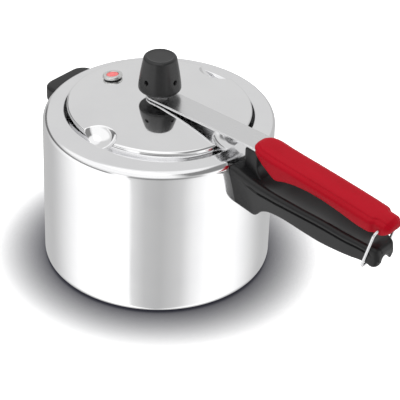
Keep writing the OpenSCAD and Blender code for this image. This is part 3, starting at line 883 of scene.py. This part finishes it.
@dataclass
class RedHandle:
    """The red handle on the bar: a long moulding with a raised field inside a lower border."""

    nose: float = 121.0
    length: float = 154.5
    half: float = 16.6
    tip_half: float = 12.8
    bar_top: float = 175.0
    bar_bottom: float = 172.5
    border: float = 5.0
    step: float = 1.1
    rows: int = 150

    @property
    def end(self) -> float:
        """X of the handle's tip."""
        return self.nose + self.length

    @property
    def pivot(self) -> tuple[float, float]:
        """X and height of the line that the wire loop turns on."""
        return self.end - 9.5, self.bar_top - 23.5

    def top(self, x: Array) -> Array:
        """Height of the raised field along the handle."""
        n, t = self.nose, self.bar_top
        px, _ = self.pivot
        return run(((n, t - 1.6), (n + 2.2, t + 1.5), (n + 7, t + 2.3), (n + 29, t - 1.0), (n + 69, t - 5.5),
                    (n + 109, t - 10.4), (px - 8, t - 14.4), (px + 4, t - 16.4), (self.end - 3, t - 18.4),
                    (self.end - 0.8, t - 20.2), (self.end, t - 22.5)), x)

    def bottom(self, x: Array) -> Array:
        """Height of the lower edge: deepest a fifth of the way along, where the fingers start."""
        n, b = self.nose, self.bar_bottom
        px, pz = self.pivot
        return run(((n, b - 0.6), (n + 2, b - 2.2), (n + 6, b - 3.4), (n + 12.5, b - 6.2), (n + 25, b - 15.0),
                    (n + 31, b - 18.6), (n + 36, b - 18.2), (n + 41, b - 16.5), (n + 54, b - 14.6),
                    (n + 68, b - 14.2), (n + 86, b - 15.8), (n + 105, b - 19.5), (n + 124, b - 23.8),
                    (px - 8, b - 25.2), (px, pz - 5), (self.end - 3, pz - 3.2), (self.end - 0.8, pz - 1.8),
                    (self.end, pz)), x)

    def wide(self, x: Array) -> Array:
        """Half width: a blunt rounded nose, straight sides, then a waist where the loop turns."""
        n, px = self.nose, self.pivot[0]
        past = np.clip((x - n) / 18.0, 0.0, 1.0)
        nose = self.half * (0.12 + 0.88 * np.sqrt(1.0 - (1.0 - past) ** 2))
        tail = run(((n, self.half), (px - 13, self.half - 0.2), (px - 8.5, self.half - 0.8),
                    (px - 5.0, self.tip_half + 0.2), (px - 2.0, self.tip_half), (px + 4, self.tip_half - 0.2),
                    (self.end - 3, self.tip_half - 2.0), (self.end - 0.8, self.tip_half - 4.8),
                    (self.end, self.tip_half - 8.0)), x)
        return np.minimum(nose, tail)

    def build(self) -> None:
        """Carries one half section along X: raised field, step, border, rounded edge, side, skirt."""
        x = eased(self.nose, self.end, self.rows)[:, None]
        top, bottom, half = self.top(x), self.bottom(x), self.wide(x)
        small = np.clip((top - bottom) / 11.0, 0.15, 1.0)
        b, s = self.border, self.step
        corners = ((b + 1.4, 0.0), (b + 0.6, 0.04), (b + 0.15, 0.25), (b - 0.2, 0.7), (b - 0.6, s),
                   (b - 1.2, s + 0.16), (2.9, s + 0.4), (1.9, s + 0.75), (1.1, s + 1.35), (0.45, s + 2.2),
                   (0.1, s + 3.3), (0.0, s + 4.6))
        inset, drop = np.array(corners).T
        upper_y = np.maximum(half - inset * np.minimum(half / 12.0, 1.0), 0.0)
        upper_z = top - drop * small
        middle_z = (upper_z[:, -1:] + bottom) / 2.0
        skirt = np.array(((0.35, 2.4), (0.6, 1.2), (1.0, 0.5), (1.7, 0.1), (2.6, 0.0)))
        skirt_y = half - skirt[:, 0]
        skirt_z = bottom + skirt[:, 1] * small
        y = np.hstack([0.0 * half, half * 0.35, upper_y, half - 0.15, skirt_y, half * 0.5, 0.0 * half])
        z = np.hstack([top + 0.25, top + 0.2, upper_z, middle_z, skirt_z, bottom, bottom])
        ring_y, ring_z = mirrored_ring(np.maximum(y, 0.0), z)
        made = piece("red_handle", np.stack([x + 0.0 * ring_y, ring_y, ring_z], axis=2), sharp=38.0)
        place_piece(made, "lid", Slot.RED, "lid_handle")


@dataclass
class LockingLoop:
    """The wire loop that turns in the red handle and hooks under the black one."""

    handle: RedHandle
    wire: float = 1.3
    half: float = 18.4
    length: float = 42.3
    lean: float = 15.0
    bend: float = 5.0

    def half_path(self) -> Array:
        """Half of the loop in its own plane: out of the hole, round, down, round, and to the middle."""
        inner = self.half - self.bend
        low = self.length - self.bend
        upper = arc((inner, self.bend), self.bend, -90.0, 0.0, 12)
        lower = arc((inner, low), self.bend, 0.0, 90.0, 12)
        return np.vstack([[(5.8, 0.0), (9.0, 0.0)], upper, line((self.half, 12.0), (self.half, low - 6.0), 4),
                          lower, [(6.0, self.length), (0.0, self.length)]])

    def build(self) -> None:
        """Places the path on the plane through the pivot that leans inwards, and draws the wire round it."""
        half = self.half_path()
        flat = np.vstack([half, (half * (-1.0, 1.0))[-2::-1]])
        a = math.radians(self.lean)
        down = np.array([-math.sin(a), 0.0, -math.cos(a)])
        side = np.array([0.0, 1.0, 0.0])
        px, pz = self.handle.pivot
        path = np.array([px, 0.0, pz]) + flat[:, :1] * side + flat[:, 1:] * down
        made = piece("wire_loop", tube(path, self.wire, np.cross(down, side), 20), sharp=60.0)
        place_piece(made, "loop", Slot.PLATED, "locking_loop")


@dataclass
class BlackHandle:
    """The fixed handle: a deep root on the pot, a post under the bar and a waisted grip."""

    pot: Pot
    red: RedHandle
    bottom_root: float = 106.5
    hook_z: float = 110.64
    hollow: float = 2.6
    crease: float = 2.0
    post_half: float = 13.0
    rows: int = 150

    @property
    def start(self) -> float:
        """X of the root, on the pot's wall."""
        return self.pot.radius + 0.1

    @property
    def end(self) -> float:
        """X of the handle's end."""
        return self.red.end - 7.0

    def top(self, x: Array) -> Array:
        """Height of the two ridges along the top."""
        s = self.pot.seat
        return run(((106, 153.5), (112, 153.0), (117, 151.8), (124, 149.0), (132, 146.2), (150, s - 11),
                    (183, s - 14.2), (208, s - 15.6), (235, s - 18.6), (252, s - 20.2), (260, s - 20.6),
                    (264.5, s - 21.5), (267.3, s - 23.6), (self.end, s - 27.0)), x)

    def bottom(self, x: Array) -> Array:
        """Height of the underside: the root's toe, a cove, the belly, the hook's recess and the feet."""
        r, h = self.bottom_root, self.hook_z
        return run(((106, r + 3.0), (125, r - 0.4), (130.5, r - 1.0), (133.5, r + 0.6), (137, r + 4.6),
                    (141, r + 7.6), (148, r + 10.2), (160, r + 11.2), (172, r + 10.4), (191, r + 8.0),
                    (211, h + 2.0), (241, h + 2.4), (250, h + 3.2), (255.5, h + 3.5), (258.8, h + 2.4),
                    (261.5, h + 0.7), (264.5, h + 0.7), (267, h + 2.4), (self.end, h + 5.6)), x)

    def wide(self, x: Array) -> Array:
        """Half width at the ridges."""
        return run(((106, 24.0), (118, 24.0), (134, 22.2), (150, 20.2), (190, 19.0), (230, 18.0), (247, 16.6),
                    (257, 16.0), (262.5, 14.2), (266, 12.6), (self.end, 10.2)), x)

    def foot_wide(self, x: Array) -> Array:
        """Half width at the underside."""
        return run(((106, 15.6), (131, 15.8), (140, 16.4), (160, 17.2), (190, 17.4), (230, 17.0), (247, 15.9),
                    (257, 15.4), (262.5, 13.8), (266, 12.2), (self.end, 9.6)), x)

    def crease_height(self, x: Array) -> Array:
        """Height of the groove along each side, which starts in the root's shoulder."""
        return run(((106, 147.5), (117, 145.5), (127, 140.8), (137, 136.4), (150, 134.0), (160, 133.0),
                    (186, 131.8), (212, 130.2), (237, 127.6), (252, 126.6), (262, 124.0), (self.end, 119.0)), x)

    def grip(self) -> Array:
        """One half section along X: hollow top, ridge, groove, side, rounded foot and arched end."""
        x = eased(self.start, self.end, self.rows)[:, None]
        top, bottom, half, foot = self.top(x), self.bottom(x), self.wide(x), self.foot_wide(x)
        groove = self.crease_height(x)
        ridge = np.clip((top - groove) / 6.5, 0.3, 1.0)
        sunk = self.hollow * smoothstep(134.0, 152.0, x) * (1.0 - smoothstep(248.0, 260.0, x))
        deep = self.crease * smoothstep(121.0, 139.0, x) * (1.0 - smoothstep(256.0, 264.0, x))
        share = (0.0, 0.3, 0.55, 0.72)
        top_y = [half * s for s in share]
        top_z = [top - sunk * (1.0 - (s / 0.78) ** 2) for s in share]
        roll = ((4.6, 0.0), (3.2, 0.12), (2.1, 0.55), (1.2, 1.25), (0.5, 2.2), (0.1, 3.3))
        roll_y = [half - inset for inset, _ in roll]
        roll_z = [top - drop * ridge for _, drop in roll]
        groove_y = [half, half - 0.25 * deep, half - 0.8 * deep, half - deep, half - 0.9 * deep]
        groove_z = [groove + 1.9 * ridge, groove + 1.0 * ridge, groove + 0.3, groove - 0.3, groove - 0.8]
        out_y = half - 0.15 * deep
        out_z = groove - 1.6
        span = (0.0, 0.12, 0.35, 0.6, 0.85)
        side_y = [out_y + (foot - out_y) * s for s in span]
        side_z = [out_z + (bottom + 3.0 - out_z) * s for s in span]
        toe = ((0.0, 3.0), (0.15, 1.9), (0.7, 0.8), (1.7, 0.15), (2.9, 0.0))
        toe_y = [foot - inset for inset, _ in toe]
        toe_z = [bottom + up for _, up in toe]
        under_share = (0.72, 0.62, 0.5, 0.35, 0.18, 0.0)
        under_y = [foot * s for s in under_share]
        arch = 6.5 * smoothstep(257.5, 262.0, x)
        under_z = [bottom + arch * max(0.0, 1.0 - (s / 0.74) ** 2) ** 0.6 for s in under_share]
        y = np.hstack(top_y + roll_y + groove_y + side_y + toe_y + under_y)
        z = np.hstack(top_z + roll_z + groove_z + side_z + toe_z + under_z)
        ring_y, ring_z = mirrored_ring(y, z)
        back = self.start - np.sqrt(self.start**2 - ring_y**2)
        hug = back * np.clip(1.0 - (x - self.start) / 18.0, 0.0, 1.0) ** 2
        return np.stack([x - hug, ring_y, ring_z], axis=2)

    def post(self) -> Array:
        """Rounded upright sections up Z: a hollow sweep from the grip, then straight to a rounded top."""
        top = self.red.bar_bottom - 0.4
        nose_r = 3.0
        z = np.concatenate([np.linspace(136.0, 158.0, 16), [162.0, 165.0],
                            top - nose_r + nose_r * np.sin(np.radians(np.linspace(0.0, 90.0, 10)))])[:, None]
        sweep, high = 19.0, 158.5
        under = np.maximum(high - z, 0.0)
        front = 130.0 + sweep - np.sqrt(np.maximum(sweep**2 - under**2, 0.0))
        above = np.clip((z - top + nose_r) / nose_r, 0.0, 1.0)
        nose = nose_r * (1.0 - np.sqrt(1.0 - above**2))
        back = 115.0 + nose
        front = front - 1.4 * above**4
        half = self.post_half - 0.9 * above**4
        a = np.radians(np.linspace(0.0, 90.0, 5))
        soft = 1.8
        corner = soft * (1.0 - np.cos(a))
        edge = soft * (1.0 - np.sin(a))
        x = np.hstack([front - corner, back + corner[::-1]])
        y = np.hstack([half - edge, half - edge[::-1]])
        ring_x = np.hstack([x, x[:, ::-1]])
        ring_y = np.hstack([y, -y[:, ::-1]])
        return np.stack([ring_x, ring_y, z + 0.0 * ring_x], axis=2)

    def build(self) -> None:
        """Makes the grip and the post, which are one moulding."""
        made = piece("black_handle", [self.grip(), self.post()], sharp=38.0)
        place_piece(made, "pot", Slot.BLACK, "body_handle")


@dataclass
class HelperHandle:
    """The short handle opposite the long ones."""

    pot: Pot
    out: float = 19.0
    half: float = 29.0
    height: float = 18.0
    middle: float = 136.0
    corner: float = 13.0
    soft: float = 3.2

    def build(self) -> None:
        """Level rings up Z, drawn in near the top and bottom along a quarter circle."""
        z = self.middle + self.height * (eased(0.0, 1.0, 26)[:, None] - 0.5)
        past = np.maximum(np.abs(z - self.middle) - self.height / 2.0 + self.soft, 0.0)
        inset = self.soft - np.sqrt(np.maximum(self.soft**2 - past**2, 0.0))
        reach = self.pot.radius + self.out - inset - 1.2 * smoothstep(-4.0, -9.0, z - self.middle)
        half = self.half - inset
        a = np.radians(np.linspace(0.0, 90.0, 12))
        foot = self.pot.radius + 0.1
        wall_y = np.linspace(0.0, 1.0, 6)
        x = np.hstack([reach, reach - self.corner * (1.0 - np.cos(a))])
        y = np.hstack([0.0 * half, half - self.corner * (1.0 - np.sin(a))])
        back_y = half * wall_y[::-1]
        back_x = np.sqrt(foot**2 - back_y**2)
        ring_x = np.hstack([x, back_x])
        ring_y = np.hstack([y, back_y])
        ring_y, ring_x = mirrored_ring(ring_y, ring_x)
        made = piece("helper_grip", np.stack([-ring_x, ring_y, z + 0.0 * ring_x], axis=2), sharp=38.0)
        place_piece(made, "pot", Slot.BLACK, "helper_handle")


@dataclass
class Regulator:
    """The black cap of the steam regulator, with an outlet in each quarter."""

    foot: float = 181.0
    height: float = 34.5
    radius: float = 20.3
    top_radius: float = 15.9
    edge: float = 3.0
    outlet: float = 2.2
    outlet_up: float = 13.0
    outlet_deep: float = 3.4
    weight: float = 13.1
    columns: int = 320

    def bell(self, t: Array) -> Array:
        """Radius a share t of the way up the side: it draws in as t to the power 1.35."""
        return self.radius - (self.radius - self.top_radius) * t**1.35

    def build(self) -> None:
        """Turns the outside and inside profile, then sinks the outlets towards the axis."""
        side_top = self.height - self.edge
        up = np.concatenate([np.linspace(2.0, 9.5, 8), np.linspace(10.0, 16.0, 25),
                             np.linspace(17.0, side_top, 14)])
        side = np.stack([self.bell((up - 2.0) / (side_top - 2.0)), up], axis=1)
        side = side[(side[:, 1] > 2.0) & (side[:, 1] < side_top)]
        roof = self.height - 3.6
        profile = np.vstack([
            line((self.weight + 2.4, 0.0), (self.radius - 2.6, 0.0), 3),
            arc((self.radius - 2.3, 2.3), 2.3, -80.0, -8.0, 7),
            side,
            arc((self.top_radius - self.edge, side_top), self.edge, 12.0, 90.0, 9),
            [(self.top_radius - self.edge - 0.5, self.height - 0.02),
             (self.top_radius - self.edge - 0.9, self.height - 0.22),
             (self.top_radius - self.edge - 1.4, self.height - 0.28), (6.0, self.height - 0.28),
             (0.0, self.height - 0.28), (0.0, roof), (self.weight, roof), (self.weight, 5.0),
             (self.weight + 2.4, 4.6)],
        ])
        grid = revolve(profile, self.columns)
        turn = np.arctan2(grid[..., 1], grid[..., 0])
        r = np.hypot(grid[..., 0], grid[..., 1])
        quarter = (turn + math.pi / 4.0) % (math.pi / 2.0) - math.pi / 4.0
        away = np.hypot(r * quarter, grid[..., 2] - self.outlet_up)
        outer = np.arange(len(profile)) < 7 + 3 + len(side)
        sink = self.outlet_deep * (1.0 - smoothstep(self.outlet - 0.35, self.outlet + 0.25, away))
        sink = sink * outer[:, None]
        shrink = (r - sink) / np.maximum(r, 1e-6)
        grid[..., :2] *= np.where(r > 1e-6, shrink, 1.0)[..., None]
        grid[..., 2] += self.foot
        made = piece("regulator_cap_shell", grid, sharp=42.0)
        place_piece(made, "regulator", Slot.CAP, "regulator_cap")


@dataclass
class SafetyValve:
    """The safety valve, square to the lid's dome: a turned collar and a red plug with a raised ring."""

    lid: Lid
    inwards: float = 28.7
    collar: float = 9.5
    plug: float = 5.7
    columns: int = 96

    def turned(self, profile: list[tuple[float, float]]) -> Array:
        """Revolves a profile about the valve's axis, which passes through the dome's centre.

        Args:
            profile: radii, and heights above the lid's surface.

        Returns:
            The grid, tilted towards -X and carried out to the dome.
        """
        x, y, z = np.moveaxis(revolve(np.array(profile), self.columns), 2, 0)
        z = z + self.lid.dome_radius
        out = self.lid.radius + self.lid.pot.oval - self.inwards
        sine = out / self.lid.dome_radius
        cosine = math.sqrt(1.0 - sine**2)
        low = self.lid.crown - self.lid.dome_radius
        return np.stack([x * cosine - z * sine, y, x * sine + z * cosine + low], axis=2)

    def build(self) -> None:
        """Turns the collar, open for the plug, and the plug's head with its stem."""
        c, p = self.collar, self.plug
        collar = self.turned([
            (p + 0.1, -1.2), (p + 1.6, -1.2), (p + 1.6, 0.9), (c - 0.9, 1.0), (c - 0.25, 1.15), (c, 1.5),
            (c, 2.9), (c - 0.3, 3.5), (c - 0.9, 3.85), (c - 1.6, 4.0), (p + 1.2, 4.0), (p + 0.5, 3.9),
            (p + 0.1, 3.4), (p + 0.1, -1.2)])
        place_piece(piece("valve_collar", collar), "lid", Slot.SATIN, "safety_valve_collar")
        plug = self.turned([
            (0.0, -12.5), (3.7, -12.5), (3.7, -1.1), (p, -1.1), (p, 3.0), (p - 0.25, 3.5), (p - 0.8, 3.75),
            (p - 1.5, 3.75), (p - 2.0, 3.35), (p - 2.6, 3.3), (p - 3.1, 3.6), (p - 3.8, 3.75), (0.0, 3.8)])
        place_piece(piece("red_valve_plug", plug), "safety_plug", Slot.PLUG, "safety_valve_plug")


@dataclass
class Fixings:
    """The CAD nodes that keep their own shape and get a finish."""

    finishes: dict[str, Finish] = field(default_factory=lambda: {
        "body_handle_bracket": BRIGHT_STEEL, "body_handle_rivets": BARE_ALUMINIUM,
        "body_handle_screw": BRIGHT_STEEL, "helper_bracket": BRIGHT_STEEL, "helper_rivets": BARE_ALUMINIUM,
        "helper_screw": BRIGHT_STEEL, "sealing_gasket": SEAL_RUBBER, "bar_spacer": BARE_ALUMINIUM,
        "vent_pipe": BRIGHT_STEEL, "vent_washer": SEAL_RUBBER, "vent_nut": BRIGHT_STEEL,
        "lid_handle_screws": BRIGHT_STEEL, "safety_valve_washer": SEAL_RUBBER,
        "safety_valve_nut": BRIGHT_STEEL, "regulator_clip": BRIGHT_STEEL, "regulator_weight": WEIGHT_STEEL})

    def build(self) -> None:
        """Dresses each node."""
        for name, finish in self.finishes.items():
            dress(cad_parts[name], finish)
            log.info("%s: %s", name, finish.name)


# ---------------------------------------------------------------- studio


@dataclass
class Studio:
    """Floor, surroundings, lamp and camera."""

    handle_turn: float = 41.5
    height: float = 33.335
    distance: float = 1744.7
    target: float = 75.0
    pan: float = 1.349
    tilt: float = -0.530
    roll: float = -1.096
    lens: float = 162.0
    floor_half: float = 12.0

    @property
    def camera_turn(self) -> float:
        """Direction of the camera about the pot's axis, in degrees from +X."""
        return self.handle_turn - 90.0

    def floor(self) -> None:
        """A wide pale sheet that metal doesn't mirror, because the surroundings light it from below."""
        h = self.floor_half
        mesh = bpy.data.meshes.new("studio_floor")
        mesh.from_pydata([(-h, -h, 0.0), (h, -h, 0.0), (h, h, 0.0), (-h, h, 0.0)], [], [(0, 1, 2, 3)])
        made = bpy.data.objects.new("studio_floor", mesh)
        bpy.context.scene.collection.objects.link(made)
        # The dark low colour is the painted contact shadow; the pale high colour is the paper's own.
        dress(made, ShadowPaintedPaper("studio_paper_painted_shadow", (0.02, 0.02, 0.03), (0.92, 0.92, 0.92), (0.85, 0.95),
                          {"Specular IOR Level": 0.1}))
        made.visible_glossy = False

    def surroundings(self) -> None:
        """White walls with a soft grey band, and a grey ceiling, brighter left and darker right."""
        world = bpy.data.worlds.new("studio_surroundings")
        world.use_nodes = True
        bpy.context.scene.world = world
        graph = Graph(world.node_tree)
        x, y, z = graph.parts(graph.value("ShaderNodeTexCoord", {}, {}, "Generated"))
        turn = (y.turn_from(x) - math.radians(self.camera_turn)).wrapped(-math.pi, math.pi)
        degrees = turn * (180.0 / math.pi)
        sides = abs(degrees).rise(72.0, 136.0, 1.0, 0.45)
        band = graph.value("ShaderNodeValToRGB", {"stops": self.band_stops()},
                           {"Fac": (degrees + 90.0) / 180.0})
        front = degrees.rise(-30.0, -26.0) * degrees.rise(38.0, 46.0, 1.0, 0.0)
        low = z.rise(-0.04, 0.02)
        walls = sides * band * (1.0 - 0.5 * (front * low)) * 1.2
        left = degrees.rise(-160.0, -150.0) * degrees.rise(-48.0, -38.0, 1.0, 0.0)
        strip = z.rise(-0.02, 0.03) * z.rise(0.24, 0.30, 1.0, 0.0) * left
        high = z.rise(0.35, 0.5)
        zenith = z.rise(0.86, 0.95)
        bright = degrees.rise(-120.0, -100.0) * degrees.rise(15.0, 25.0, 1.0, 0.0) * high
        dark = degrees.rise(25.0, 32.0) * degrees.rise(100.0, 120.0, 1.0, 0.0) * high
        dark = dark * z.rise(0.88, 0.93, 1.0, 0.0)
        ceiling = 0.70 + 0.3 * zenith + 0.35 * bright - 0.45 * dark
        near_wall = (z.rise(0.24, 0.40) - 1.0) * (abs(degrees).rise(100.0, 130.0) - 1.0)
        upper = self.either(near_wall, ceiling, walls)
        level = self.either(z.rise(0.0, 0.05), walls, upper) * (1.0 - 0.75 * strip)
        shade = graph.node("ShaderNodeBackground", {}, {"Color": (1.0, 1.0, 1.0, 1.0), "Strength": level})
        graph.node("ShaderNodeOutputWorld", {}, {"Surface": Value(graph, shade.outputs[0])})

    def either(self, share: Value, first: Value, second: Value) -> Value:
        """The second value by share, and the first by the rest."""
        return first + (second - first) * share

    def band_stops(self) -> list[tuple[float, float]]:
        """Levels of the grey band by direction, from 90 degrees left of the camera to 90 right."""
        levels = ((-90, 1.0), (-27.6, 1.0), (-26.4, 0.66), (-12, 0.47), (4, 0.42), (24, 0.54), (36, 0.78),
                  (55, 1.0), (90, 1.0))
        return [((degrees + 90.0) / 180.0, level) for degrees, level in levels]

    def lamp(self) -> None:
        """One broad soft lamp overhead."""
        light = bpy.data.lights.new("overhead_lamp", "AREA")
        light.shape = "SQUARE"
        light.size = 2.2
        light.energy = 26.0
        made = bpy.data.objects.new("overhead_lamp", light)
        made.location = (-0.25, 0.3, 1.7)
        made.rotation_euler = (-made.location).to_track_quat("-Z", "Y").to_euler()
        made.visible_glossy = False
        bpy.context.scene.collection.objects.link(made)

    def camera(self) -> None:
        """A long lens that looks down at the cooker, turned slightly off its axis."""
        turn, high = math.radians(self.camera_turn), math.radians(self.height)
        back = Vector((math.cos(turn) * math.cos(high), math.sin(turn) * math.cos(high), math.sin(high)))
        right = Vector((-math.sin(turn), math.cos(turn), 0.0))
        up = back.cross(right)
        axes = Matrix((right, up, back)).transposed()
        turns = (Matrix.Rotation(math.radians(-self.pan), 3, "Y")
                 @ Matrix.Rotation(math.radians(self.tilt), 3, "X")
                 @ Matrix.Rotation(math.radians(-self.roll), 3, "Z"))
        data = bpy.data.cameras.new("studio_camera")
        data.lens = self.lens
        data.clip_end = 50.0
        made = bpy.data.objects.new("studio_camera", data)
        place = Vector((0.0, 0.0, self.target * MM)) + back * self.distance * MM
        made.matrix_world = Matrix.Translation(place) @ (axes @ turns).to_4x4()
        bpy.context.scene.collection.objects.link(made)
        bpy.context.scene.camera = made

    def build(self) -> None:
        """Sets the studio up."""
        self.floor()
        self.surroundings()
        self.lamp()
        self.camera()
        bpy.context.scene.view_settings.view_transform = "Standard"
        log.info("studio: camera %.1f degrees round, %.1f degrees up", self.camera_turn, self.height)


def main() -> None:
    """Builds the cooker, piece by piece, and the studio round it."""
    logging.basicConfig(level=logging.INFO, format="%(name)s: %(message)s")
    pot = Pot()
    lid = Lid(pot)
    red = RedHandle()
    assemblies = (Studio(), pot, lid, LidBar(), red, LockingLoop(red), BlackHandle(pot, red),
                  HelperHandle(pot), Regulator(), SafetyValve(lid), Fixings())
    for assembly in assemblies:
        assembly.build()


if __name__ == "__main__":
    main()
